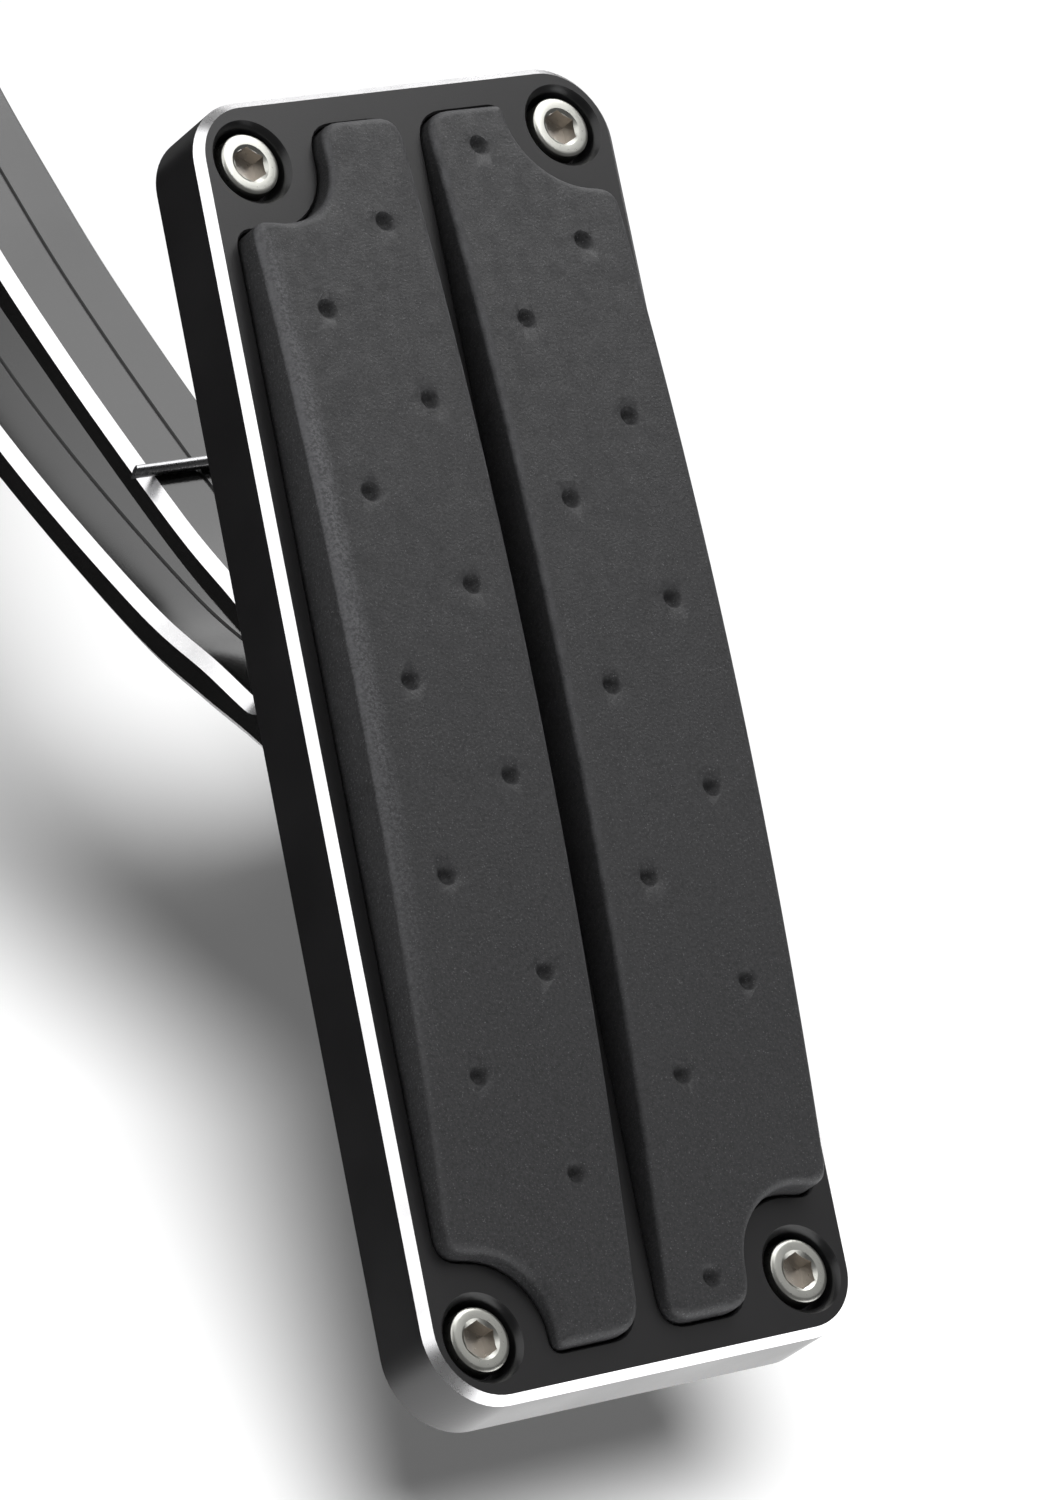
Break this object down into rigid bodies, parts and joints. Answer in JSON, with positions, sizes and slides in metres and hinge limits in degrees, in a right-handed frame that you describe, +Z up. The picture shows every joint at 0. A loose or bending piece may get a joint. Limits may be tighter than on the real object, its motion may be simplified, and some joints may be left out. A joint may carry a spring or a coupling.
{
  "type": "accelerator pedal",
  "caption": "Firewall-hung accelerator pedal: leaning rectangular pad with dimpled rubber inserts on a sprung hinge, a curved slotted arm and a pivot bracket with a cable swivel.",
  "frame": {"origin": "middle of the bracket's face that bolts to the firewall", "axes": "+X to the driver's right, +Y out of the firewall face into the firewall, +Z up"},
  "size_m": [0.0884, 0.2699, 0.3009],
  "materials": {
    "anodised": "semi-gloss black anodised billet with bright machined chamfers",
    "rubber": "fine-grained black rubber with small round dimples",
    "stainless": "satin turned stainless steel",
    "spring_steel": "drawn spring wire",
    "bronze": "oiled sintered bronze"
  },
  "bodies": {
    "root": {"pivot_bracket": "anodised", "pivot_bolt": "stainless", "pivot_nut": "stainless", "pivot_washer_left": "stainless", "pivot_washer_right": "stainless", "spring_spacer_left": "stainless", "spring_spacer_right": "stainless", "return_spring": "spring_steel", "idle_stop_screw": "stainless", "idle_stop_nut": "stainless", "full_stop_screw": "stainless", "full_stop_nut": "stainless"},
    "arm": {"arm": "anodised", "pivot_bush_left": "bronze", "pivot_bush_right": "bronze", "eye_bush_left": "bronze", "eye_bush_right": "bronze", "pad_spring": "spring_steel"},
    "swivel": {"cable_swivel": "stainless", "cable_set_screw": "stainless", "swivel_clip": "spring_steel"},
    "pad": {"pad_plate": "anodised", "backing_plate": "anodised", "insert_left": "rubber", "insert_right": "rubber", "pad_screw_top_left": "stainless", "pad_screw_top_right": "stainless", "pad_screw_bottom_left": "stainless", "pad_screw_bottom_right": "stainless", "hinge_bracket": "anodised", "hinge_screw_high_left": "stainless", "hinge_screw_high_right": "stainless", "hinge_screw_low_left": "stainless", "hinge_screw_low_right": "stainless", "pad_pin": "stainless", "pad_pin_clip": "spring_steel", "pad_pin_spacer": "stainless"}
  },
  "joints": [
    {"name": "arm_pivot", "type": "hinge", "parent": "root", "child": "arm", "pos_m": [0, -0.042, 0], "axis": [1, 0, 0], "range_deg": [0, 16], "stiffness_Nm_per_rad": 2.5, "springref_deg": -45.84, "deforming": ["return_spring"]},
    {"name": "pad_tilt", "type": "hinge", "parent": "arm", "child": "pad", "pos_m": [0, -0.20377, -0.18795], "axis": [-1, 0, 0], "range_deg": [0, 14], "stiffness_Nm_per_rad": 0.35, "springref_deg": -28.65, "deforming": ["pad_spring"]},
    {"name": "cable_swivel_turn", "type": "hinge", "parent": "arm", "child": "swivel", "pos_m": [0, -0.044, 0.047], "axis": [1, 0, 0], "range_deg": [-40, 40]}
  ]
}
